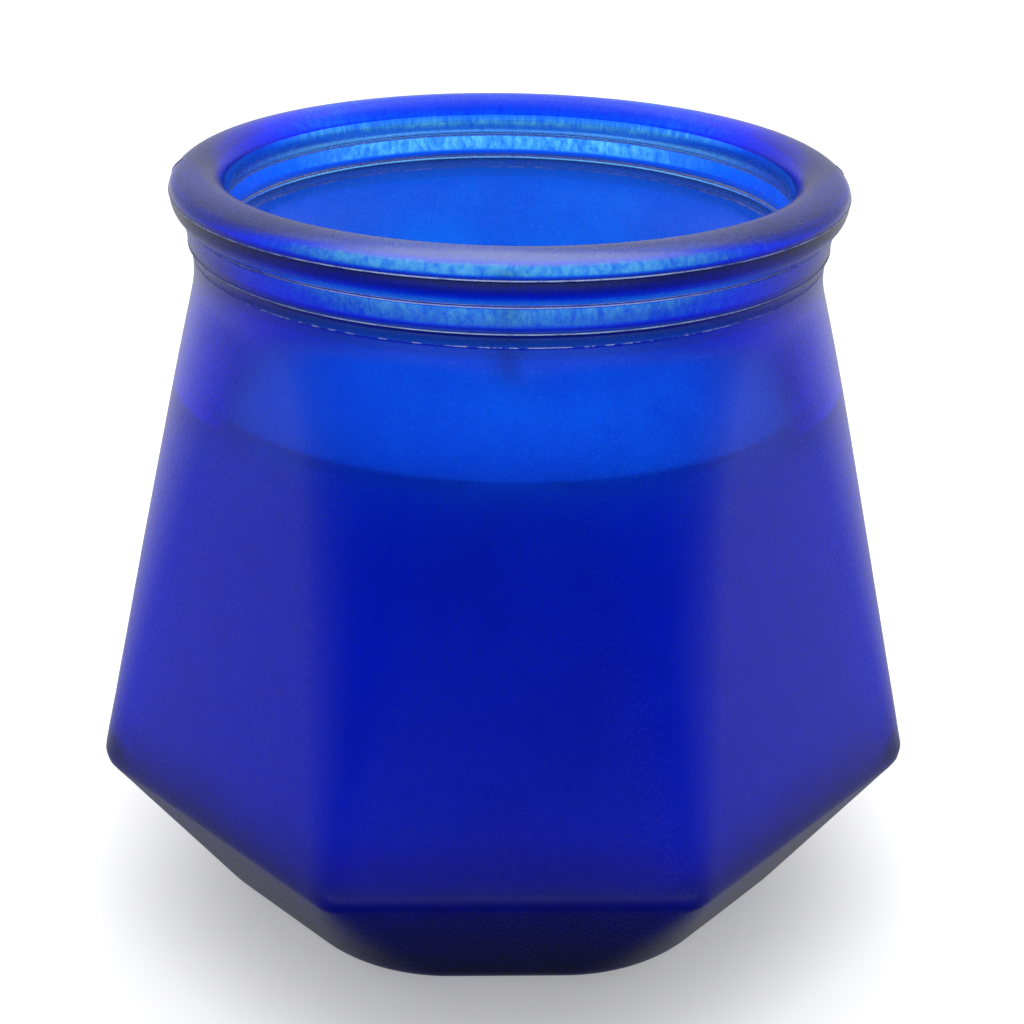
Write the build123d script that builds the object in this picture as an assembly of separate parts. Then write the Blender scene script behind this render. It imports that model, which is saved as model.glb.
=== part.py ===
from build123d import *
import math
import os

# Faceted container candle: a pressed glass jar, eight flats that spread from a round neck down to a
# wide belt, then a chamfer and a rounded heel down to the foot, with a poured wax fill and its wick.
# +Z up, origin at the centre of the foot's bearing plane, flats square to +X, -X, +Y and -Y.
# All sizes in millimetres.

# ---- driving dimensions: jar outside ----
JAR_HEIGHT = 90.3          # foot plane to top of lip
BELT_ACROSS_FLATS = 97.0   # widest place, between opposite flats, before the belt is rounded
BELT_Z = 22.4              # height of the belt
BELT_ROUND = 3.7           # radius over the belt edge
BELT_CORNER_R = 4.0        # plan radius of the eight upright corners at the belt
MID_Z = 60.0               # section between belt and neck
MID_CORNER_R = 18.0        # plan radius of the corners there
NECK_Z = 78.5              # where the loft of the flats ends, inside the round neck
NECK_R = 36.0              # half across the flats there
NECK_CYL_R = 36.3          # short straight neck that the flats run out into
NECK_CYL_LOW_Z = 71.5      # where it starts, inside the flats
HEEL_APOTHEM = 35.4        # chamfer carried down to the foot plane, half across flats
HEEL_CORNER_R = 23.0
HEEL_ROUND = 9.5           # radius between the chamfer and the foot plane
PUSH_UP_R = 25.0           # shallow recess under the foot, which leaves a bearing ring
PUSH_UP_DEPTH = 1.3

# ---- driving dimensions: finish (the round, moulded mouth) ----
RIM_R = 38.5               # outside of the rim bead, on the mould's parting line
PARTING_Z = 87.95          # height of that line
RIM_TOP_R = 35.2           # circle on which the lip is highest
LIP_LOW_Z = 87.35          # where the lip's rounding meets the straight mouth
BEAD_LOW_R = 37.15         # lower edge of the bead, which tapers in to the band
BEAD_LOW_Z = 85.1
BAND_TOP_R = 36.9         # transfer band under the bead
BAND_TOP_Z = 84.8
BAND_LOW_R = 36.7
BAND_LOW_Z = 82.05         # sharp lower edge of the band
COVE_R = 36.1              # shallow cove between the band and the neck
COVE_Z = 81.3
MOUTH_R = 32.3             # straight inside wall of the mouth
MOUTH_LOW_Z = 79.0

# ---- driving dimensions: cavity ----
FLOOR_Z = 4.8              # top of the glass floor
# height, half across flats, corner radius of the cavity, floor to neck; it is rounder than the outside
CAVITY = [
    (4.8, 28.6, 25.0),
    (5.6, 31.4, 25.0),
    (7.6, 34.6, 24.0),
    (10.4, 37.5, 22.5),
    (22.9, 45.3, 13.0),
    (24.3, 45.3, 13.0),
    (45.0, 40.6, 25.0),
    (66.3, 35.9, 34.9),
    (79.0, 32.3, 31.7),
]

# ---- driving dimensions: fill, wick, sustainer ----
WAX_TOP_Z = 66.3
WICK_D = 2.6
WICK_ABOVE_WAX = 7.0
STICKER_D = 19.0
STICKER_T = 1.0
TAB_D = 20.0
TAB_T = 0.3
NECK_OD = 3.6              # crimped neck of the sustainer
NECK_H = 4.5

T225 = math.tan(math.radians(22.5))
C225 = math.cos(math.radians(22.5))


def octagon(z, apothem, corner_r):
    """Face of an eight-sided outline with rounded corners, one flat square to +X."""
    h = (apothem - corner_r) * T225
    flats = []
    for k in range(8):
        a = math.radians(45 * k)
        n = (math.cos(a), math.sin(a))
        t = (-n[1], n[0])
        flats.append(
            (
                (n[0] * apothem - t[0] * h, n[1] * apothem - t[1] * h, z),
                (n[0] * apothem + t[0] * h, n[1] * apothem + t[1] * h, z),
            )
        )
    edges = []
    for k in range(8):
        p, q = flats[k]
        r = flats[(k + 1) % 8][0]
        a = math.radians(45 * k + 22.5)
        d = (apothem - corner_r) / C225 + corner_r
        m = (d * math.cos(a), d * math.sin(a), z)
        edges.append(Line(p, q))
        edges.append(ThreePointArc(q, m, r))
    return make_face(edges)


def ring_section(points):
    """Closed face in the XZ plane from (radius, height) points."""
    return make_face(Polyline(*[(r, 0, z) for r, z in points], close=True))


# ---- jar outside ----
belt_apothem = BELT_ACROSS_FLATS / 2
belt = octagon(BELT_Z, belt_apothem, BELT_CORNER_R)
mid_apothem = belt_apothem + (NECK_R - belt_apothem) * (MID_Z - BELT_Z) / (NECK_Z - BELT_Z)
mid = octagon(MID_Z, mid_apothem, MID_CORNER_R)
neck = octagon(NECK_Z, NECK_R, NECK_R * 0.985)
heel = octagon(0, HEEL_APOTHEM, HEEL_CORNER_R)

body = loft([heel, belt, mid, neck], ruled=True)
body = fillet(body.edges().filter_by(lambda e: abs(e.center().Z - BELT_Z) < 1e-3 and abs(e.bounding_box().size.Z) < 1e-3), BELT_ROUND)
body = fillet(body.edges().filter_by(lambda e: abs(e.bounding_box().max.Z) < 1e-3), HEEL_ROUND)

# ---- finish: neck, cove, transfer band and rim bead, turned about Z ----
finish = [
    (MOUTH_R - 4.0, NECK_CYL_LOW_Z),
    (NECK_CYL_R, NECK_CYL_LOW_Z),
    (NECK_CYL_R, COVE_Z - 0.7),
    (COVE_R + 0.06, COVE_Z - 0.25),
    (COVE_R, COVE_Z),
    (COVE_R + 0.10, COVE_Z + 0.35),
    (BAND_LOW_R - 0.2, BAND_LOW_Z - 0.1),
    (BAND_LOW_R, BAND_LOW_Z),
    (BAND_LOW_R + 0.1, BAND_LOW_Z + 0.5),
    (BAND_TOP_R, BAND_TOP_Z - 0.5),
    (BAND_TOP_R, BAND_TOP_Z),
    (BEAD_LOW_R, BEAD_LOW_Z),
    (BEAD_LOW_R + 0.80, BEAD_LOW_Z + 0.85),
    (BEAD_LOW_R + 1.18, BEAD_LOW_Z + 1.80),
]
for i in range(0, 16):  # upper bead, from the parting line to the top of the lip
    a = math.radians(90 * i / 15)
    finish.append((RIM_TOP_R + (RIM_R - RIM_TOP_R) * math.cos(a), PARTING_Z + (JAR_HEIGHT - PARTING_Z) * math.sin(a)))
for i in range(1, 16):  # over the lip and down to the straight mouth
    a = math.radians(90 + 90 * i / 15)
    finish.append((RIM_TOP_R + (RIM_TOP_R - MOUTH_R) * math.cos(a), LIP_LOW_Z + (JAR_HEIGHT - LIP_LOW_Z) * math.sin(a)))
finish.append((MOUTH_R - 4.0, LIP_LOW_Z))
turned = revolve(ring_section(finish), Axis.Z)
turned = turned - Pos(0, 0, NECK_CYL_LOW_Z - 1) * Cylinder(MOUTH_R, JAR_HEIGHT, align=(Align.CENTER, Align.CENTER, Align.MIN))

cavity = loft([octagon(z, a, r) for z, a, r in CAVITY], ruled=True)
top_cut = Pos(0, 0, CAVITY[-1][0]) * Cylinder(MOUTH_R, JAR_HEIGHT, align=(Align.CENTER, Align.CENTER, Align.MIN))

# shallow domed recess under the foot
dome_r = (PUSH_UP_R**2 + PUSH_UP_DEPTH**2) / (2 * PUSH_UP_DEPTH)
push_up = Pos(0, 0, PUSH_UP_DEPTH - dome_r) * Sphere(dome_r)

jar = body + turned
jar = jar - cavity - top_cut - push_up
glass_jar = jar.solids().sort_by(SortBy.VOLUME)[-1]

# ---- sticker, sustainer and wick, standing on the glass floor ----
sticker = Pos(0, 0, FLOOR_Z) * Cylinder(STICKER_D / 2, STICKER_T, align=(Align.CENTER, Align.CENTER, Align.MIN))
sticker = chamfer(sticker.edges().filter_by(GeomType.CIRCLE).group_by(Axis.Z)[-1], 0.15)

tab_z = FLOOR_Z + STICKER_T
neck_ro = NECK_OD / 2
wick_r = WICK_D / 2
sustainer_profile = [
    (wick_r, tab_z),
    (TAB_D / 2 - 0.6, tab_z),
    (TAB_D / 2, tab_z + 0.35),
    (TAB_D / 2, tab_z + 0.35 + TAB_T),
    (TAB_D / 2 - 0.7, tab_z + TAB_T),
    (neck_ro + 1.1, tab_z + TAB_T),
    (neck_ro + 0.3, tab_z + TAB_T + 0.25),
    (neck_ro, tab_z + TAB_T + 0.9),
    (neck_ro - 0.15, tab_z + NECK_H),
    (wick_r, tab_z + NECK_H),
]
wick_sustainer = revolve(ring_section(sustainer_profile), Axis.Z)

wick_top = WAX_TOP_Z + WICK_ABOVE_WAX
wick = Pos(0, 0, tab_z) * Cylinder(wick_r, wick_top - tab_z, align=(Align.CENTER, Align.CENTER, Align.MIN))
wick = fillet(wick.edges().filter_by(GeomType.CIRCLE).group_by(Axis.Z)[-1], 0.5)

# ---- wax: the cavity filled to its level, round the wick, sustainer and sticker ----
level = Pos(0, 0, WAX_TOP_Z) * Cylinder(80, 60, align=(Align.CENTER, Align.CENTER, Align.MIN))
wax = cavity - level - sticker - wick_sustainer - wick
wax_fill = wax.solids().sort_by(SortBy.VOLUME)[-1]

NODES = {
    "glass_jar": glass_jar,
    "wax_fill": wax_fill,
    "wick": wick,
    "wick_sustainer": wick_sustainer,
    "sustainer_sticker": sticker,
}

os.makedirs("parts", exist_ok=True)
for name, shape in NODES.items():
    solids = shape.solids()
    export_step(solids[0] if len(solids) == 1 else Compound(children=list(solids)), f"parts/{name}.step")
    bb = shape.bounding_box()
    print(name, "solids", len(solids), "volume", round(shape.volume, 1), "size", [round(v, 2) for v in (bb.size.X, bb.size.Y, bb.size.Z)], "z", round(bb.min.Z, 2), round(bb.max.Z, 2))
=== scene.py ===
import math

import bpy
import numpy as np
from mathutils import Matrix, Vector, noise


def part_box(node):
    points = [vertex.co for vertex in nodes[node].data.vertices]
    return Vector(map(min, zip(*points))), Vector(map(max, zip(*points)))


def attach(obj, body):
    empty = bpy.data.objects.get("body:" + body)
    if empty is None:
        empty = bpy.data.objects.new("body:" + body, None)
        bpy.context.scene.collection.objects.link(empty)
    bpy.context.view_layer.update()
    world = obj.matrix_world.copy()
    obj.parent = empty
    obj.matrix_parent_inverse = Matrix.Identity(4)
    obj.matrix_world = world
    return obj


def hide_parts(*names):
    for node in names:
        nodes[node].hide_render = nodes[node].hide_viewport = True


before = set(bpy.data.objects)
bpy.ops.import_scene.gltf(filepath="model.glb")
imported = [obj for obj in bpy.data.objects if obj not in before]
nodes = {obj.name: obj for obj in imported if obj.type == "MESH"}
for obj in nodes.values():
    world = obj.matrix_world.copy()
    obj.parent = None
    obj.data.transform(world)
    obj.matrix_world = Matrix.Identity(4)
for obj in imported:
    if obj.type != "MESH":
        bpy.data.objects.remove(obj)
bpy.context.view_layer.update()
MM = 0.001

# ------------------------------------------------------------------ sizes, all from the CAD frame
jar_lo, jar_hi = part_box("glass_jar")
wax_lo, wax_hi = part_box("wax_fill")
wick_lo, wick_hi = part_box("wick")
tab_lo, tab_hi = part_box("wick_sustainer")
pad_lo, pad_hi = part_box("sustainer_sticker")
HEIGHT = jar_hi.z / MM              # 90.3
WAX_TOP = wax_hi.z / MM             # 66.3
FLOOR = wax_lo.z / MM               # 4.8

BELT_A, BELT_Z, BELT_ROUND, BELT_RHO = 48.5, 22.4, 3.7, 4.0
NECK_Z, NECK_R = 78.5, 36.0
NECK_CYL, NECK_CYL_TOP = 36.3, 80.3
HEEL_A, HEEL_RHO, HEEL_ROUND = 35.4, 23.0, 9.5
PUSH_R, PUSH_D = 25.0, 1.3
RIM_R, PARTING_Z, RIM_TOP_R, LIP_LOW = 38.5, 87.95, 35.2, 87.35
BEAD_LOW_R, BEAD_LOW = 37.15, 85.1
BAND_TOP_R, BAND_TOP, BAND_LOW_R, BAND_LOW = 36.9, 84.8, 36.7, 82.05
COVE_R, COVE_Z = 36.1, 81.3
MOUTH_R, MOUTH_LOW = 32.3, 79.0
CAVITY = [
    (4.8, 28.6, 25.0), (5.6, 31.4, 25.0), (7.6, 34.6, 24.0), (10.4, 37.5, 22.5), (22.9, 45.3, 13.0),
    (24.3, 45.3, 13.0), (45.0, 40.6, 25.0), (66.3, 35.9, 34.9), (79.0, 32.3, 31.7),
]
T225, C225 = math.tan(math.radians(22.5)), math.cos(math.radians(22.5))


# ------------------------------------------------------------------ helpers
def smooth01(t):
    t = np.clip(t, 0.0, 1.0)
    return t * t * (3 - 2 * t)


def polar(phi, a, rho):
    """Radius at angle phi of an octagon with a flat square to +X, half across flats a, corner radius rho."""
    rho = min(rho, a * 0.9999)
    d = np.abs((phi + math.pi / 8) % (math.pi / 4) - math.pi / 8)
    h = (a - rho) * T225
    flat = a / np.cos(d)
    c = (a - rho) / C225
    g = math.pi / 8 - d
    round_ = c * np.cos(g) + np.sqrt(np.maximum(rho * rho - (c * np.sin(g)) ** 2, 0))
    return np.where(d <= math.atan2(h, a), flat, round_)


def spline(points, n):
    """Centripetal Catmull-Rom through the rows of points, n samples a span."""
    p = np.asarray(points, float)
    p = np.vstack([2 * p[0] - p[1], p, 2 * p[-1] - p[-2]])
    out = []
    for i in range(1, len(p) - 2):
        q = p[i - 1:i + 3]
        t = [0.0]
        for k in range(3):
            t.append(t[-1] + max(np.linalg.norm(q[k + 1][:2] - q[k][:2]), 1e-6) ** 0.5)
        s = np.linspace(t[1], t[2], n, endpoint=False)[:, None]
        a1 = (t[1] - s) / (t[1] - t[0]) * q[0] + (s - t[0]) / (t[1] - t[0]) * q[1]
        a2 = (t[2] - s) / (t[2] - t[1]) * q[1] + (s - t[1]) / (t[2] - t[1]) * q[2]
        a3 = (t[3] - s) / (t[3] - t[2]) * q[2] + (s - t[2]) / (t[3] - t[2]) * q[3]
        b1 = (t[2] - s) / (t[2] - t[0]) * a1 + (s - t[0]) / (t[2] - t[0]) * a2
        b2 = (t[3] - s) / (t[3] - t[1]) * a2 + (s - t[1]) / (t[3] - t[1]) * a3
        out.append((t[2] - s) / (t[2] - t[1]) * b1 + (s - t[1]) / (t[2] - t[1]) * b2)
    out.append(p[-2][None, :])
    return np.vstack(out)


def wobble(co, scale, seed):
    """Smooth noise in -1..1 at each point of co (mm)."""
    off = Vector((seed * 17.3, seed * 5.1, seed * 9.7))
    return np.array([noise.noise(Vector(c) / scale + off) for c in co])


def mesh_object(name, verts, faces, smooth=True):
    me = bpy.data.meshes.new(name)
    me.from_pydata([tuple(v) for v in verts], [], faces)
    me.validate()
    me.update()
    if smooth:
        me.polygons.foreach_set("use_smooth", [True] * len(me.polygons))
    ob = bpy.data.objects.new(name, me)
    bpy.context.scene.collection.objects.link(ob)
    return ob


def lathe(name, rings, phis, first, last):
    """Closed surface through rings of points (each len(phis) x 3, mm), capped by the points first and last. Rings go from the
    underside's centre outwards and up, so faces look outwards."""
    m = len(phis)
    verts = [first] + [tuple(v) for r in rings for v in r] + [last]
    verts = np.array(verts, float) * MM
    faces = []
    for j in range(m):
        faces.append((0, 1 + (j + 1) % m, 1 + j))
    for i in range(len(rings) - 1):
        a, b = 1 + i * m, 1 + (i + 1) * m
        for j in range(m):
            k = (j + 1) % m
            faces.append((a + j, a + k, b + k, b + j))
    a, e = 1 + (len(rings) - 1) * m, len(verts) - 1
    for j in range(m):
        faces.append((a + j, a + (j + 1) % m, e))
    return mesh_object(name, verts, faces)


def ring(phis, a, rho, z):
    r = polar(phis, a, rho)
    return np.stack([r * np.cos(phis), r * np.sin(phis), np.full_like(phis, z)], 1)


# ------------------------------------------------------------------ camera (first, from the fixed frame)
cam = bpy.data.cameras.new("camera")
cam.lens, cam.sensor_width = 58.23, 36.0
cam.clip_start, cam.clip_end = 0.01, 20.0
cam_ob = bpy.data.objects.new("camera", cam)
bpy.context.scene.collection.objects.link(cam_ob)
fw = Vector((0.03178, 0.90013, -0.43445)).normalized()
rt = Vector((0.99938, -0.03529, 0.0)).normalized()
up = rt.cross(fw).normalized()
roll = math.radians(1.0137)
r2 = math.cos(roll) * rt + math.sin(roll) * up
u2 = -math.sin(roll) * rt + math.cos(roll) * up
m = Matrix.Identity(4)
for i, v in enumerate((r2, u2, -fw)):
    m[0][i], m[1][i], m[2][i] = v
m.translation = Vector((-5.751, -187.692, 135.982)) * MM
cam_ob.matrix_world = m
bpy.context.scene.camera = cam_ob


# ------------------------------------------------------------------ glass jar
# Angles: even all round, closer together beside the two upright mould seams, which lie on +X and -X.
even = np.linspace(0, 2 * math.pi, 312, endpoint=False)
extra = []
for c in (0.0, math.pi):
    for d in (0.08, 0.16, 0.24, 0.32, 0.42, 0.55, 0.72):
        extra += [c + math.radians(d), c - math.radians(d)]
phis = np.unique(np.round(np.concatenate([even, np.array(extra) % (2 * math.pi)]), 6))
SEAM = np.minimum(np.abs((phis + math.pi) % (2 * math.pi) - math.pi), np.abs(phis - math.pi))  # angle from the nearer seam


def chamfer_line(z):
    return HEEL_A + (BELT_A - HEEL_A) * z / BELT_Z


def flat_line(z):
    return BELT_A + (NECK_R - BELT_A) * (z - BELT_Z) / (NECK_Z - BELT_Z)


def corner_low(z):
    return HEEL_RHO + (BELT_RHO - HEEL_RHO) * z / BELT_Z


def corner_high(z):
    u = min((z - BELT_Z) / (NECK_Z - BELT_Z), 1.0)
    return BELT_RHO + 20.7 * u + 10.6 * u ** 8


prof = []  # (a, rho, z, tag)
# recess under the foot and bearing ring
for r in (3, 7, 11, 15, 18.5, 21.5, 23.5, 24.6):
    prof.append((r, r, PUSH_D * (1 - (r / PUSH_R) ** 2)))
prof += [(25.1, 25.1, 0.05), (25.7, 25.4, 0.0), (27.0, 24.0, 0.0), (28.6, 20.5, 0.0)]
# heel
sl = (BELT_A - HEEL_A) / BELT_Z
th1 = math.atan(sl)                      # the chamfer leans this far out from upright
ac = HEEL_A - HEEL_ROUND * math.tan((math.pi / 2 - th1) / 2)
for i in range(0, 17):
    th = -math.pi / 2 + (math.pi / 2 - th1) * i / 16
    a, z = ac + HEEL_ROUND * math.cos(th), HEEL_ROUND + HEEL_ROUND * math.sin(th)
    rho = (HEEL_RHO - (HEEL_A - ac)) * (1 - i / 16) + corner_low(z) * (i / 16)
    prof.append((a, rho, z))
z_heel = prof[-1][2]
# belt fillet
d1 = np.array([sl, 1.0]) / math.hypot(sl, 1)                       # up the chamfer
s2 = (NECK_R - BELT_A) / (NECK_Z - BELT_Z)
d2 = np.array([s2, 1.0]) / math.hypot(s2, 1)                       # up the flats
turn = math.acos(float(d1 @ d2))
tl = BELT_ROUND * math.tan(turn / 2)
p1, p2 = np.array([BELT_A, BELT_Z]) - tl * d1, np.array([BELT_A, BELT_Z]) + tl * d2
n1 = np.array([d1[1], -d1[0]])
centre = p1 - BELT_ROUND * n1
for z in np.linspace(z_heel, p1[1], 14)[1:-1]:
    prof.append((chamfer_line(z), corner_low(z), z))
w1, w2 = math.atan2(-d1[0], d1[1]), math.atan2(-d2[0], d2[1])
for i in range(0, 15):
    w = w1 + (w2 - w1) * i / 14
    a, z = centre[0] + BELT_ROUND * math.cos(w), centre[1] + BELT_ROUND * math.sin(w)
    rho = max(BELT_RHO - (BELT_A - centre[0]) + BELT_ROUND * math.cos(w), 0.6)
    prof.append((a, rho + 0.35, z))
for z in list(np.linspace(p2[1], 68.0, 34))[1:] + list(np.linspace(68.8, NECK_CYL_TOP - 0.25, 25)):
    prof.append((flat_line(z), corner_high(z), z))
n_body = len(prof)


def circles(points):
    for r, z in points:
        prof.append((r, r, z))


# finish: a fine mould line round the neck, the cove, the band and the bead
circles([(NECK_CYL, 80.30), (NECK_CYL + 0.01, 80.42), (NECK_CYL + 0.07, 80.50), (NECK_CYL + 0.07, 80.56), (NECK_CYL - 0.02, 80.64), (NECK_CYL - 0.06, 80.8), (COVE_R + 0.07, 81.0)])
circles([(COVE_R, COVE_Z), (COVE_R + 0.02, COVE_Z + 0.2), (COVE_R + 0.10, COVE_Z + 0.4), (COVE_R + 0.26, COVE_Z + 0.56), (BAND_LOW_R - 0.12, BAND_LOW - 0.12), (BAND_LOW_R, BAND_LOW - 0.07)])
# the band's lower edge: a fine sharp fin
circles([(BAND_LOW_R + 0.10, BAND_LOW - 0.04), (BAND_LOW_R + 0.13, BAND_LOW), (BAND_LOW_R + 0.12, BAND_LOW + 0.05), (BAND_LOW_R + 0.03, BAND_LOW + 0.10), (BAND_LOW_R - 0.02, BAND_LOW + 0.20)])
for t in np.linspace(0.12, 0.9, 9):
    circles([(BAND_LOW_R + (BAND_TOP_R - BAND_LOW_R) * math.sin(t * math.pi / 2) + 0.05 * math.sin(math.pi * t), BAND_LOW + 0.1 + (BAND_TOP - BAND_LOW - 0.1) * t)])
# double line between band and bead
circles([(BAND_TOP_R, BAND_TOP - 0.14), (BAND_TOP_R - 0.05, BAND_TOP - 0.05), (BAND_TOP_R - 0.16, BAND_TOP + 0.02), (BAND_TOP_R - 0.17, BAND_TOP + 0.08), (BAND_TOP_R - 0.04, BAND_TOP + 0.15), (BAND_TOP_R + 0.20, BAND_TOP + 0.20), (BEAD_LOW_R - 0.10, BEAD_LOW - 0.06), (BEAD_LOW_R + 0.02, BEAD_LOW), (BEAD_LOW_R + 0.07, BEAD_LOW + 0.08)])
for t in np.linspace(0.08, 0.94, 12):
    circles([(BEAD_LOW_R + 0.05 + (RIM_R - 0.08 - BEAD_LOW_R) * (1 - (1 - t) ** 2.6), BEAD_LOW + (PARTING_Z - 0.08 - BEAD_LOW) * t)])
# parting line of the mould on the bead
circles([(RIM_R - 0.03, PARTING_Z - 0.09), (RIM_R + 0.03, PARTING_Z - 0.05), (RIM_R + 0.07, PARTING_Z), (RIM_R + 0.04, PARTING_Z + 0.05), (RIM_R - 0.05, PARTING_Z + 0.10)])
for w in np.linspace(math.radians(6), math.radians(90), 26):
    circles([(RIM_TOP_R + (RIM_R - RIM_TOP_R) * math.cos(w), PARTING_Z + (HEIGHT - PARTING_Z) * math.sin(w))])
n_top = len(prof)
for w in np.linspace(math.radians(93), math.radians(180), 24):
    circles([(RIM_TOP_R + (RIM_TOP_R - MOUTH_R) * math.cos(w), LIP_LOW + (HEIGHT - LIP_LOW) * math.sin(w))])
n_outer = len(prof)
# inside: mouth, wall, floor
circles([(MOUTH_R, z) for z in np.linspace(LIP_LOW - 0.4, MOUTH_LOW + 0.8, 9)])
inner = spline([(a, z, rho) for z, a, rho in CAVITY], 7)[::-1]
for a, z, rho in inner:
    if z < MOUTH_LOW - 0.3:
        prof.append((a, min(rho, a * 0.999), z))
last_a, last_rho = prof[-1][0], prof[-1][1]
for t in (0.85, 0.68, 0.5, 0.33, 0.18, 0.07):
    prof.append((last_a * t, min(last_rho * t + last_a * t * (1 - t) * 0.9, last_a * t * 0.999), FLOOR))

rings = []
for i, (a, rho, z) in enumerate(prof):
    r = polar(phis, a, rho)
    if i < n_body and z > 66.0:                                 # the flats run out into the round neck
        r = NECK_CYL + 0.20 * np.logaddexp(0, (r - NECK_CYL) / 0.20)
    rings.append(np.stack([r * np.cos(phis), r * np.sin(phis), np.full_like(phis, z)], 1))
co = np.array(rings)                                            # rings x angles x 3
zs = np.array([p[2] for p in prof])
idx = np.arange(len(prof))
# slight unevenness of pressed glass: less outside, more on the blown inside, none where it stands
flatc = co.reshape(-1, 3)
w_big = wobble(flatc, 21.0, 1).reshape(co.shape[:2])
w_mid = wobble(flatc, 7.5, 2).reshape(co.shape[:2])
amp = np.where(idx < n_outer, 0.035, 0.16)[:, None] * np.ones(len(phis))[None, :]
amp[(zs < 0.6) & (idx < 20)] = 0.0
amp[idx >= n_outer] *= smooth01((zs[idx >= n_outer] - WAX_TOP - 0.6) / 4.0)[:, None]   # the wax wets the rest, without a gap
rad = np.linalg.norm(co[:, :, :2], axis=2)
move = amp * w_big + amp * 0.35 * w_mid
# upright mould seams: a low fin over the finish, fainter on the body
seam_profile = np.exp(-((SEAM * 38.0) / 0.16) ** 2)
seam_h = np.where(idx < n_outer, np.where(zs > 75.5, 0.15, 0.05), 0.0)
seam_h = np.where(zs < z_heel, 0.0, seam_h)
seam_h[idx >= n_top - 12] = 0.0                                # not over the lip
move = move + seam_h[:, None] * seam_profile[None, :]
scale = 1 + move / np.maximum(rad, 1.0)
co[:, :, 0] *= scale
co[:, :, 1] *= scale
side = jar_hi.x / MM - 0.002                                    # the unevenness never leaves the CAD's box
co[:, :, :2] = np.clip(co[:, :, :2], -side, side)
jar = lathe("jar_glass", list(co), phis, (0, 0, PUSH_D), (0, 0, FLOOR))


# ------------------------------------------------------------------ wax fill
GAP = -0.03          # the wax wets the glass, so its skin lies a hair inside the wall and no air film shows between them
wphis = np.linspace(0, 2 * math.pi, 288, endpoint=False)
wprof = []
for t in (0.07, 0.18, 0.33, 0.5, 0.68, 0.85):
    wprof.append((last_a * t, min(last_rho * t + last_a * t * (1 - t) * 0.9, last_a * t * 0.999), FLOOR + GAP))
for a, z, rho in inner[::-1]:
    if z <= WAX_TOP - 0.5:
        wprof.append((a - GAP, min(rho, a * 0.999) - GAP, z + (GAP if z < 9 else 0)))
a_top = float(np.interp(WAX_TOP, inner[::-1][:, 1], inner[::-1][:, 0])) - GAP
n_side = len(wprof)
# the skin climbs the glass a little and stands in a low collar round the wick
for d, h in ((0.0, 0.0), (0.10, 0.0), (0.28, -0.10), (0.55, -0.24), (0.95, -0.38), (1.5, -0.49), (2.4, -0.58), (4.0, -0.63)):
    wprof.append((a_top - d, (a_top - d) * 0.999, WAX_TOP + h))
LEVEL = WAX_TOP - 0.64
for r in np.linspace(a_top - 5.2, 6.0, 34):
    wprof.append((r, r, LEVEL))
for r, h in ((4.6, 0.02), (3.6, 0.06), (2.9, 0.14), (2.35, 0.28), (1.95, 0.5), (1.6, 0.85), (1.42, 1.2), (1.30, 1.5)):
    wprof.append((r, r, LEVEL + h))
wrings = np.array([ring(wphis, a, rho, z) for a, rho, z in wprof])
wtop = wrings[n_side + 2:].reshape(-1, 3)
shape = wrings[n_side + 2:].shape[:2]
rr = np.linalg.norm(wtop[:, :2], axis=1)
lift = 0.10 * wobble(wtop, 14.0, 3) + 0.035 * wobble(wtop, 4.5, 4) + 0.012 * wobble(wtop, 1.6, 5) - 0.25 * smooth01((rr - 3) / 8) * smooth01((24 - rr) / 18)
wrings[n_side + 2:, :, 2] += (lift * smooth01((a_top - rr) / 2.0) * smooth01((rr - 1.4) / 2.0)).reshape(shape)
side = wrings[6:n_side + 1].reshape(-1, 3)
wax = lathe("wax_pour", list(wrings), wphis, (0, 0, FLOOR + GAP), (0, 0, LEVEL + 1.4))


# ------------------------------------------------------------------ wick: eight braided strands round a core
def tube_mesh(paths, radius, sides=8):
    verts, faces = [], []
    for path, rad_ in paths:
        p = np.asarray(path, float)
        t = np.gradient(p, axis=0)
        t /= np.linalg.norm(t, axis=1)[:, None]
        u = np.cross(t, np.array([1.0, 0.0, 0.0]) if np.abs(t[:, 2]).min() > 0.95 else np.array([0.0, 0.0, 1.0]))
        u /= np.maximum(np.linalg.norm(u, axis=1)[:, None], 1e-9)
        v = np.cross(t, u)
        base = len(verts)
        rad_ = np.broadcast_to(np.asarray(rad_, float), (len(p),))
        for i in range(len(p)):
            for k in range(sides):
                w = 2 * math.pi * k / sides
                verts.append(tuple(p[i] + rad_[i] * (math.cos(w) * u[i] + math.sin(w) * v[i])))
        for i in range(len(p) - 1):
            for k in range(sides):
                a, b = base + i * sides + k, base + i * sides + (k + 1) % sides
                faces.append((a, b, b + sides, a + sides))
        faces.append(tuple(base + k for k in range(sides))[::-1])
        end = base + (len(p) - 1) * sides
        faces.append(tuple(end + k for k in range(sides)))
    return verts, faces


z0, z1 = wick_lo.z / MM, wick_hi.z / MM
zz = np.arange(z0 + 0.25, z1 - 0.1, 0.16)
lean = smooth01((zz - WAX_TOP) / 9.0)
strands = []
for s in range(8):
    sense = 1 if s % 2 == 0 else -1
    k = s // 2
    w = sense * 2 * math.pi * zz / 7.6 + k * math.pi / 2 + (0 if sense > 0 else math.pi / 4)
    over = np.cos(4 * (w - (k * math.pi / 2)) * 1.0 + (0 if sense > 0 else math.pi))
    r = 0.80 + 0.10 * over
    fray = smooth01((zz - (z1 - 1.1)) / 1.1) * 0.18 * math.sin(2.3 * s + 0.7)
    path = np.stack([(r + fray) * np.cos(w) + 0.28 * lean, (r + fray) * np.sin(w) - 0.10 * lean, zz - 0.25 * fray], 1)
    rad_s = 0.37 * (1 - 0.35 * smooth01((zz - (z1 - 0.5)) / 0.5))
    strands.append((path, rad_s))
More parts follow.
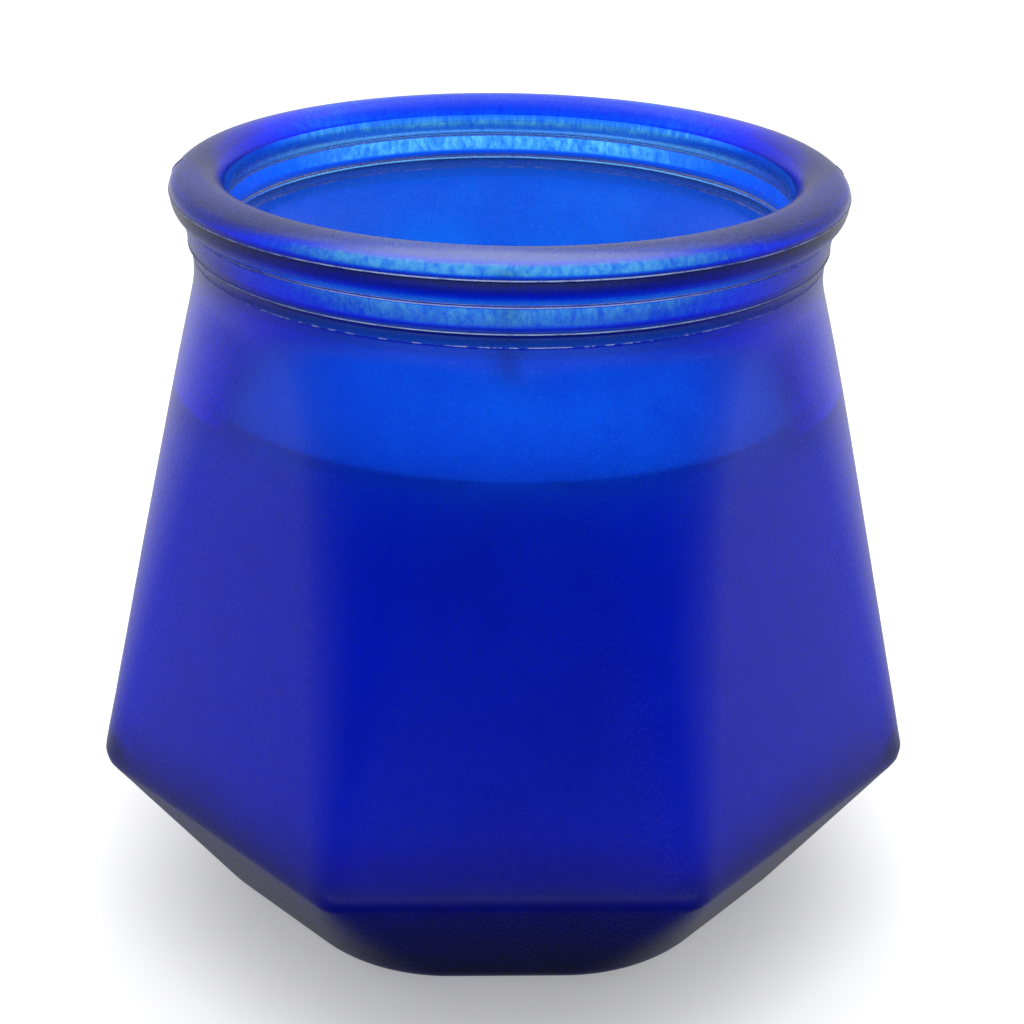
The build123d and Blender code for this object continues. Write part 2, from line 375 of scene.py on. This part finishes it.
core = np.stack([0.28 * lean, -0.10 * lean, zz], 1)[:-3]
strands.append((core, 0.62 * np.ones(len(core))))
wv, wf = tube_mesh(strands, 0.37)
wick = mesh_object("braided_wick", np.array(wv) * MM, wf)


# ------------------------------------------------------------------ sustainer: pressed tinplate tab with radial ribs and a crimped neck
tz, th = tab_lo.z / MM, 0.28
tphis = np.linspace(0, 2 * math.pi, 160, endpoint=False)
half = []
tr = (tab_hi.x - tab_lo.x) / 2 / MM
outer_top = [(tr, 0.42, 0), (tr - 0.25, 0.62, 0), (tr - 0.8, 0.42, 0), (tr - 1.6, 0.30, 0), (tr - 3.0, 0.29, 0.5), (tr - 4.6, 0.29, 1), (tr - 6.2, 0.29, 0.5), (3.1, 0.30, 0), (2.5, 0.42, 0), (2.1, 0.72, 0), (1.86, 1.2, 0), (1.78, 1.9, 0), (1.76, 2.6, 0), (1.72, 3.2, 0), (1.74, 3.9, 0), (1.70, 4.4, 0), (1.55, 4.5, 0), (1.36, 4.46, 0)]
under = [(1.36, 0.02, 0), (2.4, 0.0, 0), (3.4, 0.0, 0), (tr - 6.2, 0.0, 0.5), (tr - 4.6, 0.0, 1), (tr - 3.0, 0.0, 0.5), (tr - 1.6, 0.0, 0), (tr - 0.8, 0.05, 0), (tr - 0.2, 0.24, 0)]
trs = []
for r, h, rib in under + outer_top:
    bump = 0.16 * rib * np.maximum(np.cos(6 * tphis), 0) ** 2
    crimp = np.where((h > 2.2) & (h < 4.2), 0.16 * np.maximum(np.cos(2 * tphis), 0) ** 3 * math.exp(-((h - 3.2) / 0.5) ** 2), 0)
    rr_ = r - crimp * (r > 1.4)
    trs.append(np.stack([rr_ * np.cos(tphis), rr_ * np.sin(tphis), np.full_like(tphis, tz + h) + bump], 1))
nt = len(tphis)
tv = np.concatenate(trs) * MM
tf = []
for i in range(len(trs)):
    a, b = i * nt, ((i + 1) % len(trs)) * nt
    for j in range(nt):
        k = (j + 1) % nt
        tf.append((a + j, a + k, b + k, b + j))
tab = mesh_object("tin_sustainer", tv, tf)

# ------------------------------------------------------------------ foam sticker, squeezed a little at its edge
pr, pz0, pz1 = (pad_hi.x - pad_lo.x) / 2 / MM, pad_lo.z / MM, pad_hi.z / MM
pph = np.linspace(0, 2 * math.pi, 128, endpoint=False)
edge = 0.06 * np.array([noise.noise(Vector((math.cos(p) * 3, math.sin(p) * 3, 1.7))) for p in pph])
pp = [(pr * 0.35, pz0 + 0.03), (pr * 0.7, pz0 + 0.03), (pr - 0.35, pz0 + 0.03), (pr - 0.12, pz0 + 0.08), (pr - 0.14, pz0 + 0.3), (pr - 0.2, (pz0 + pz1) / 2), (pr - 0.14, pz1 - 0.3), (pr - 0.12, pz1 - 0.1), (pr - 0.3, pz1 - 0.03), (pr * 0.7, pz1 - 0.03), (pr * 0.35, pz1 - 0.03)]
prs = [np.stack([(r + edge * (r > pr * 0.9)) * np.cos(pph), (r + edge * (r > pr * 0.9)) * np.sin(pph), np.full_like(pph, z)], 1) for r, z in pp]
pad = lathe("foam_sticker_pad", prs, pph, (0, 0, pz0 + 0.03), (0, 0, pz1 - 0.03))


# ------------------------------------------------------------------ materials
def material(name):
    mat = bpy.data.materials.new(name)
    mat.use_nodes = True
    nt = mat.node_tree
    return mat, nt, nt.nodes["Principled BSDF"]


def node(nt, kind, **props):
    n = nt.nodes.new(kind)
    for k, v in props.items():
        setattr(n, k, v)
    return n


def ramp(nt, fac, stops):
    r = nt.nodes.new("ShaderNodeValToRGB")
    els = r.color_ramp.elements
    while len(els) < len(stops):
        els.new(0.5)
    for e, (p, c) in zip(els, stops):
        e.position = p
        e.color = (*c, 1) if len(c) == 3 else c
    nt.links.new(fac, r.inputs[0])
    return r.outputs[0]


def maths(nt, op, a, b=None, clamp=False):
    n = nt.nodes.new("ShaderNodeMath")
    n.operation = op
    n.use_clamp = clamp
    for i, v in enumerate((a, b)):
        if v is None:
            continue
        if isinstance(v, (int, float)):
            n.inputs[i].default_value = v
        else:
            nt.links.new(v, n.inputs[i])
    return n.outputs[0]


def noise_tex(nt, vec, scale, detail=2.0, rough=0.5, dist=0.0):
    n = nt.nodes.new("ShaderNodeTexNoise")
    n.inputs["Scale"].default_value = scale
    n.inputs["Detail"].default_value = detail
    n.inputs["Roughness"].default_value = rough
    n.inputs["Distortion"].default_value = dist
    nt.links.new(vec, n.inputs["Vector"])
    return n.outputs["Fac"]


def mapped(nt, scale):
    tc = nt.nodes.new("ShaderNodeTexCoord")
    mp = nt.nodes.new("ShaderNodeMapping")
    mp.inputs["Scale"].default_value = scale
    nt.links.new(tc.outputs["Object"], mp.inputs["Vector"])
    return mp.outputs[0], tc


# outside of the jar: translucent cobalt coating with a satin frost
coat, nt, p = material("frosted_cobalt_coating")
p.inputs["IOR"].default_value = 1.5
p.inputs["Specular Tint"].default_value = (0.26, 0.29, 0.40, 1)
p.inputs["Transmission Weight"].default_value = 1.0
vec, tc = mapped(nt, (1000, 1000, 1000))                        # millimetres
sep = nt.nodes.new("ShaderNodeSeparateXYZ")
nt.links.new(vec, sep.inputs[0])
z = sep.outputs["Z"]
fine = noise_tex(nt, vec, 1.9, 3.0, 0.6)
cloud = noise_tex(nt, vec, 0.07, 3.0, 0.55)
# density of the coating, 0 thin to 1 thick, which sets its colour: made denser and darker towards the foot over the
# chamfer and heel, and in the creases of the finish under its bead and band, as painted shade there; thin and patchy on
# its bands


def grey(nt, fac, stops):
    return ramp(nt, fac, [(q, (v, v, v)) for q, v in stops])


# painted shade: the coat is made denser, so darker, from the belt down to the foot
low = grey(nt, maths(nt, "DIVIDE", z, 30.0), [(0.0, 0.68), (0.20, 0.63), (0.60, 0.585), (0.70, 0.56), (0.80, 0.42), (0.90, 0.34), (1.0, 0.30)])
# painted shade: the coat above the wax line is made a little denser, so the wall there is darker
upper = grey(nt, maths(nt, "DIVIDE", maths(nt, "SUBTRACT", z, 64.0), 4.0), [(0.60, 0.0), (0.95, 0.045)])
# painted shade: this table makes the coat denser, so darker, in the cove under the band, in the crease between band and
# bead and on the bead's lower half below its parting line
HIGH = [
    (78.0, .30), (79.2, .31), (79.6, .42), (80.4, .46), (80.7, .58), (81.9, .66), (82.15, .60), (82.5, .42), (83.0, .08), (84.60, .06), (84.76, .50),
    (85.04, .62), (85.18, .24), (85.6, .22), (86.4, .34), (86.8, .58), (87.8, .70), (88.0, .62), (88.2, .36), (88.55, .04), (89.35, .03), (89.6, .20), (89.95, .31), (90.3, .33),
]
high = grey(nt, maths(nt, "DIVIDE", maths(nt, "SUBTRACT", z, 78.0), 12.3), [((q - 78.0) / 12.3, v) for q, v in HIGH])
fin = grey(nt, maths(nt, "DIVIDE", maths(nt, "SUBTRACT", z, 80.0), 3.0), [(0.0, 0.0), (1.0, 1.0)])
density_and_shade = maths(nt, "SUBTRACT", maths(nt, "ADD", maths(nt, "ADD", low, upper), high), 0.30)
density_and_shade = maths(nt, "ADD", density_and_shade, maths(nt, "MULTIPLY", maths(nt, "SUBTRACT", cloud, 0.5), 0.10))
stretch, _ = mapped(nt, (1000, 1000, 520))
patch = noise_tex(nt, stretch, 1.15, 5.0, 0.72, 0.5)
speckle = noise_tex(nt, vec, 4.2, 2.0, 0.7)
density_and_shade = maths(nt, "ADD", density_and_shade, maths(nt, "MULTIPLY", maths(nt, "SUBTRACT", fine, 0.5), 0.035))
density_and_shade = maths(nt, "ADD", density_and_shade, maths(nt, "MULTIPLY", maths(nt, "SUBTRACT", speckle, 0.5), 0.025))
# round the finish and above the wax the coating is made denser, so darker, at the sides towards +X and -X than in front
# and at the back, as painted shade on the sides; and the lip is barest at the back
rr2 = maths(nt, "ADD", maths(nt, "MULTIPLY", sep.outputs["X"], sep.outputs["X"]), maths(nt, "MULTIPLY", sep.outputs["Y"], sep.outputs["Y"]))
x2 = maths(nt, "DIVIDE", maths(nt, "MULTIPLY", sep.outputs["X"], sep.outputs["X"]), maths(nt, "MAXIMUM", rr2, 1.0))
sides = grey(nt, x2, [(0.22, 0.0), (0.60, 0.20), (1.0, 0.26)])
room = grey(nt, density_and_shade, [(0.0, 1.0), (0.30, 0.75), (0.44, 0.0)])
density_and_shade = maths(nt, "ADD", density_and_shade, maths(nt, "MULTIPLY", maths(nt, "MULTIPLY", sides, fin), room))
# painted shade: above the wax the sides are made denser as well
air = grey(nt, maths(nt, "DIVIDE", maths(nt, "SUBTRACT", z, 62.0), 22.0), [(0.0, 0.0), (0.20, 1.0), (0.80, 1.0), (0.90, 0.0)])
density_and_shade = maths(nt, "ADD", density_and_shade, maths(nt, "MULTIPLY", maths(nt, "MULTIPLY", sides, air), 0.26))
lip = grey(nt, maths(nt, "SUBTRACT", z, 89.2), [(0.0, 0.0), (0.5, 1.0)])
yy = maths(nt, "DIVIDE", sep.outputs["Y"], 38.0)
density_and_shade = maths(nt, "ADD", density_and_shade, maths(nt, "MULTIPLY", lip, maths(nt, "MULTIPLY", yy, -0.14)))
rear = grey(nt, yy, [(0.25, 0.0), (0.80, 1.0)])
crown = grey(nt, maths(nt, "SUBTRACT", z, 85.6), [(0.0, 0.0), (0.8, 1.0)])
density_and_shade = maths(nt, "SUBTRACT", density_and_shade, maths(nt, "MULTIPLY", maths(nt, "MULTIPLY", rear, crown), 0.30), clamp=True)
thin = grey(nt, density_and_shade, [(0.0, 1.0), (0.12, 0.9), (0.30, 0.12)])
density_and_shade = maths(nt, "ADD", density_and_shade, maths(nt, "MULTIPLY", maths(nt, "SUBTRACT", patch, 0.5), maths(nt, "MULTIPLY", maths(nt, "MULTIPLY", fin, thin), 0.85)), clamp=True)
col = ramp(nt, density_and_shade, [
    (0.0, (0.010, 0.22, 0.84)), (0.10, (0.0022, 0.105, 0.82)), (0.20, (0.0004, 0.034, 0.84)), (0.30, (0.00001, 0.0135, 0.90)), (0.345, (0.00001, 0.0050, 0.62)),
    (0.45, (0.00001, 0.0036, 0.40)), (0.60, (0.00002, 0.0022, 0.15)), (0.72, (0.00005, 0.0007, 0.016)), (1.0, (0.0002, 0.0008, 0.012))])
# painted shade: the back wall from the wax line up to the neck is darkened by multiplying its colour
back_wall_shade = nt.nodes.new("ShaderNodeMix")
back_wall_shade.data_type, back_wall_shade.blend_type = "RGBA", "MULTIPLY"
nt.links.new(maths(nt, "MULTIPLY", rear, grey(nt, maths(nt, "DIVIDE", z, 90.3), [(0.70, 0.0), (0.76, 1.0), (0.89, 1.0), (0.90, 0.0)])), back_wall_shade.inputs["Factor"])
nt.links.new(col, back_wall_shade.inputs["A"])
back_wall_shade.inputs["B"].default_value = (0.5, 0.92, 0.60, 1)
col = back_wall_shade.outputs["Result"]
# the coating is rubbed off the sharp mould lines; their pale colour is partly real wear and partly a painted glint,
# faded out towards the back
wear_and_glint = None
for z0, half in ((82.03, 0.10), (87.95, 0.09), (84.76, 0.05), (85.10, 0.05)):
    line = maths(nt, "SUBTRACT", 1.0, maths(nt, "DIVIDE", maths(nt, "ABSOLUTE", maths(nt, "SUBTRACT", z, z0)), half), clamp=True)
    wear_and_glint = line if wear_and_glint is None else maths(nt, "MAXIMUM", wear_and_glint, line)
broken = grey(nt, noise_tex(nt, vec, 0.5, 3.0, 0.6), [(0.36, 0.35), (0.52, 1.0)])
line4 = maths(nt, "SUBTRACT", 1.0, maths(nt, "DIVIDE", maths(nt, "ABSOLUTE", maths(nt, "SUBTRACT", z, 80.53)), 0.07), clamp=True)
gaps = grey(nt, noise_tex(nt, vec, 0.9, 2.0, 0.6), [(0.48, 0.0), (0.58, 0.55)])
wear_and_glint = maths(nt, "MAXIMUM", maths(nt, "MULTIPLY", wear_and_glint, broken), maths(nt, "MULTIPLY", line4, gaps))
# painted glint: the lines are strongest in front and fade out towards the back
wear_and_glint = maths(nt, "MULTIPLY", wear_and_glint, grey(nt, maths(nt, "MULTIPLY", maths(nt, "ADD", yy, 1.0), 0.5), [(0.0, 1.0), (0.30, 0.85), (0.55, 0.22), (0.8, 0.03), (1.0, 0.02)]))
# painted sheen: the front of the lip is mixed towards the pale colour and passes less light
lip_front_sheen = maths(nt, "MULTIPLY", lip, maths(nt, "MULTIPLY", yy, -0.16, clamp=True))
wear_and_glint = maths(nt, "MAXIMUM", wear_and_glint, lip_front_sheen)
mixc = nt.nodes.new("ShaderNodeMix")
mixc.data_type = "RGBA"
nt.links.new(wear_and_glint, mixc.inputs["Factor"])
nt.links.new(col, mixc.inputs["A"])
mixc.inputs["B"].default_value = (0.52, 0.70, 1.0, 1)
nt.links.new(mixc.outputs["Result"], p.inputs["Base Color"])
# bare ground glass on those lines, with the painted glint and the painted lip sheen, scatters the light instead of
# passing it
nt.links.new(maths(nt, "SUBTRACT", 1.0, maths(nt, "MULTIPLY", wear_and_glint, 0.75)), p.inputs["Transmission Weight"])
rough = maths(nt, "ADD", maths(nt, "MULTIPLY", maths(nt, "SUBTRACT", fine, 0.5), 0.10), 0.28)
nt.links.new(rough, p.inputs["Roughness"])
bump = node(nt, "ShaderNodeBump")
bump.inputs["Strength"].default_value = 0.12
bump.inputs["Distance"].default_value = 0.00004
grain = noise_tex(nt, vec, 4.5, 2.0, 0.6)
nt.links.new(grain, bump.inputs["Height"])
nt.links.new(bump.outputs[0], p.inputs["Normal"])

# inside of the jar: bare glass
bare, nt, p = material("bare_glass_inside")
p.inputs["IOR"].default_value = 1.5
p.inputs["Transmission Weight"].default_value = 1.0
p.inputs["Base Color"].default_value = (0.96, 0.985, 1.0, 1)
p.inputs["Specular Tint"].default_value = (0.04, 0.18, 0.62, 1)
vec, tc = mapped(nt, (1000, 1000, 1000))
nt.links.new(maths(nt, "ADD", maths(nt, "MULTIPLY", noise_tex(nt, vec, 0.25, 2.0, 0.5), 0.06), 0.03), p.inputs["Roughness"])
bump = node(nt, "ShaderNodeBump")
bump.inputs["Strength"].default_value = 0.2
bump.inputs["Distance"].default_value = 0.0002
nt.links.new(noise_tex(nt, vec, 0.12, 2.0, 0.5), bump.inputs["Height"])
nt.links.new(bump.outputs[0], p.inputs["Normal"])

jar.data.materials.append(coat)
jar.data.materials.append(bare)
mphi = len(phis)
fidx = np.zeros(len(jar.data.polygons), np.int32)
first_in = mphi + (n_outer - 4 - 1) * mphi
fidx[first_in:] = 1
jar.data.polygons.foreach_set("material_index", fidx)

# wax
waxm, nt, p = material("candle_wax")
vec, tc = mapped(nt, (1000, 1000, 1000))
blotch = noise_tex(nt, vec, 0.10, 4.0, 0.6)
speck = noise_tex(nt, vec, 1.3, 3.0, 0.6)
tone = maths(nt, "ADD", maths(nt, "MULTIPLY", blotch, 0.75), maths(nt, "MULTIPLY", speck, 0.25))
nt.links.new(ramp(nt, tone, [(0.25, (0.92, 0.91, 0.885)), (0.5, (0.955, 0.95, 0.935)), (0.75, (0.975, 0.972, 0.962))]), p.inputs["Base Color"])
p.inputs["Subsurface Weight"].default_value = 0.7
p.inputs["Subsurface Radius"].default_value = (0.9, 0.8, 0.65)
p.inputs["Subsurface Scale"].default_value = 0.007
p.inputs["IOR"].default_value = 1.44
nt.links.new(maths(nt, "ADD", maths(nt, "MULTIPLY", blotch, 0.25), 0.36), p.inputs["Roughness"])
bump = node(nt, "ShaderNodeBump")
bump.inputs["Strength"].default_value = 0.35
bump.inputs["Distance"].default_value = 0.0003
nt.links.new(maths(nt, "ADD", speck, maths(nt, "MULTIPLY", blotch, 2.0)), bump.inputs["Height"])
nt.links.new(bump.outputs[0], p.inputs["Normal"])
wax.data.materials.append(waxm)

# cotton
cot, nt, p = material("waxed_cotton")
vec, tc = mapped(nt, (1000, 1000, 1000))
w = nt.nodes.new("ShaderNodeTexNoise")
w.inputs["Scale"].default_value = 6.0
w.inputs["Detail"].default_value = 4.0
nt.links.new(vec, w.inputs["Vector"])
nt.links.new(ramp(nt, w.outputs["Fac"], [(0.3, (0.62, 0.57, 0.46)), (0.6, (0.86, 0.83, 0.74))]), p.inputs["Base Color"])
nt.links.new(maths(nt, "ADD", maths(nt, "MULTIPLY", w.outputs["Fac"], 0.3), 0.5), p.inputs["Roughness"])
bump = node(nt, "ShaderNodeBump")
bump.inputs["Strength"].default_value = 0.6
bump.inputs["Distance"].default_value = 0.00008
nt.links.new(w.outputs["Fac"], bump.inputs["Height"])
nt.links.new(bump.outputs[0], p.inputs["Normal"])
wick.data.materials.append(cot)

# tinplate
tin, nt, p = material("tinplate")
vec, tc = mapped(nt, (1000, 1000, 1000))
g = noise_tex(nt, vec, 0.9, 4.0, 0.6)
nt.links.new(ramp(nt, g, [(0.3, (0.55, 0.56, 0.58)), (0.7, (0.78, 0.78, 0.79))]), p.inputs["Base Color"])
p.inputs["Metallic"].default_value = 1.0
nt.links.new(maths(nt, "ADD", maths(nt, "MULTIPLY", g, 0.25), 0.15), p.inputs["Roughness"])
tab.data.materials.append(tin)

# foam
foam, nt, p = material("foam_sticker")
vec, tc = mapped(nt, (1000, 1000, 1000))
vor = nt.nodes.new("ShaderNodeTexVoronoi")
vor.inputs["Scale"].default_value = 3.0
nt.links.new(vec, vor.inputs["Vector"])
nt.links.new(ramp(nt, vor.outputs["Distance"], [(0.1, (0.70, 0.70, 0.67)), (0.6, (0.88, 0.88, 0.85))]), p.inputs["Base Color"])
p.inputs["Roughness"].default_value = 0.85
bump = node(nt, "ShaderNodeBump")
bump.inputs["Strength"].default_value = 0.5
bump.inputs["Distance"].default_value = 0.0001
nt.links.new(vor.outputs["Distance"], bump.inputs["Height"])
nt.links.new(bump.outputs[0], p.inputs["Normal"])
pad.data.materials.append(foam)

for ob, cad, slot in (
    (jar, "glass_jar", "frosted_blue_glass"),
    (wax, "wax_fill", "candle_wax"),
    (wick, "wick", "cotton_wick"),
    (tab, "wick_sustainer", "tinned_steel"),
    (pad, "sustainer_sticker", "foam_sticker"),
):
    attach(ob, "root")
    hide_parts(cad)


# ------------------------------------------------------------------ stage and light
fl = mesh_object("floor", [(-3, -3, 0), (3, -3, 0), (3, 3, 0), (-3, 3, 0)], [(0, 1, 2, 3)])
flm, nt, p = material("pale_floor")
p.inputs["Base Color"].default_value = (0.93, 0.93, 0.935, 1)
p.inputs["Emission Color"].default_value = (1, 1, 1, 1)
p.inputs["Emission Strength"].default_value = 0.32
p.inputs["Roughness"].default_value = 0.6
fl.data.materials.append(flm)
fl.visible_glossy = False                                       # its glare is kept off the satin coating

world = bpy.data.worlds.new("studio")
bpy.context.scene.world = world
world.use_nodes = True
wn = world.node_tree
bg = wn.nodes["Background"]
bg.inputs["Strength"].default_value = 1.0
tcw = wn.nodes.new("ShaderNodeTexCoord")
sepw = wn.nodes.new("ShaderNodeSeparateXYZ")
wn.links.new(tcw.outputs["Generated"], sepw.inputs[0])
# a tent of soft light: bright overhead and behind, half as bright at the sides, dark low in front
yv = maths(wn, "MULTIPLY", maths(wn, "ADD", sepw.outputs["Y"], 1.0), 0.5)
low_w = ramp(wn, yv, [(0.0, (0.03, 0.03, 0.031)), (0.30, (0.07, 0.07, 0.072)), (0.50, (0.64, 0.64, 0.65)), (0.75, (0.72, 0.72, 0.72)), (1.0, (0.68, 0.68, 0.68))])
top_w = ramp(wn, yv, [(0.0, (0.30, 0.30, 0.30)), (0.42, (0.66, 0.66, 0.66)), (0.60, (1.08, 1.08, 1.08)), (1.0, (1.15, 1.15, 1.15))])
zf = ramp(wn, sepw.outputs["Z"], [(0.0, (0, 0, 0)), (0.30, (0.02, 0.02, 0.02)), (0.62, (1, 1, 1)), (1.0, (1, 1, 1))])
mixw = wn.nodes.new("ShaderNodeMix")
mixw.data_type = "RGBA"
wn.links.new(zf, mixw.inputs["Factor"])
wn.links.new(low_w, mixw.inputs["A"])
wn.links.new(top_w, mixw.inputs["B"])
# below the horizon the coating mirrors a bright table that is in shade close to the jar
zd = maths(wn, "MULTIPLY", maths(wn, "ADD", sepw.outputs["Z"], 1.0), 0.5)
keep = ramp(wn, zd, [(0.0, (0, 0, 0)), (0.26, (0, 0, 0)), (0.40, (1, 1, 1)), (1.0, (1, 1, 1))])
table = ramp(wn, zd, [(0.0, (0.03, 0.03, 0.03)), (0.04, (0.05, 0.05, 0.05)), (0.14, (0.26, 0.26, 0.26)), (0.30, (0.62, 0.62, 0.62)), (0.43, (1.1, 1.1, 1.1)), (0.46, (1.1, 1.1, 1.1)), (0.50, (0, 0, 0))])
table_front = ramp(wn, zd, [(0.0, (0.09, 0.09, 0.09)), (0.04, (0.08, 0.08, 0.08)), (0.14, (0.4, 0.4, 0.4)), (0.30, (2.2, 2.2, 2.2)), (0.37, (2.0, 2.0, 2.0)), (0.40, (1.3, 1.3, 1.3)), (0.43, (0.5, 0.5, 0.5)), (0.46, (0.08, 0.08, 0.08)), (0.50, (0, 0, 0))])
mul = wn.nodes.new("ShaderNodeMix")
mul.data_type, mul.blend_type = "RGBA", "MULTIPLY"
mul.inputs["Factor"].default_value = 1.0
wn.links.new(mixw.outputs["Result"], mul.inputs["A"])
wn.links.new(keep, mul.inputs["B"])
light = wn.nodes.new("ShaderNodeMix")
light.data_type, light.blend_type = "RGBA", "LIGHTEN"
light.inputs["Factor"].default_value = 1.0
wn.links.new(mul.outputs["Result"], light.inputs["A"])
both = wn.nodes.new("ShaderNodeMix")
both.data_type = "RGBA"
wn.links.new(ramp(wn, yv, [(0.0, (1, 1, 1)), (0.10, (1, 1, 1)), (0.22, (0, 0, 0))]), both.inputs["Factor"])
wn.links.new(table, both.inputs["A"])
wn.links.new(table_front, both.inputs["B"])
wn.links.new(both.outputs["Result"], light.inputs["B"])
# seen straight on, the studio is plain near-white all round
path = wn.nodes.new("ShaderNodeLightPath")
mixc = wn.nodes.new("ShaderNodeMix")
mixc.data_type = "RGBA"
wn.links.new(path.outputs["Is Camera Ray"], mixc.inputs["Factor"])
wn.links.new(light.outputs["Result"], mixc.inputs["A"])
mixc.inputs["B"].default_value = (0.97, 0.97, 0.975, 1)
wn.links.new(mixc.outputs["Result"], bg.inputs["Color"])


def area(name, loc, size, power, target=(0, 0, 0.045), color=(1, 1, 1)):
    li = bpy.data.lights.new(name, "AREA")
    li.shape = "RECTANGLE"
    li.size, li.size_y = size
    li.energy = power
    li.color = color
    ob = bpy.data.objects.new(name, li)
    bpy.context.scene.collection.objects.link(ob)
    ob.location = loc
    ob.rotation_euler = (Vector(target) - Vector(loc)).to_track_quat("-Z", "Y").to_euler()
    return ob


area("top", (0, 0.10, 0.95), (1.1, 1.0), 4.7)

sc = bpy.context.scene
sc.view_settings.view_transform = "Standard"
sc.view_settings.look = "None"
sc.view_settings.exposure = 0.0
sc.view_settings.gamma = 1.0
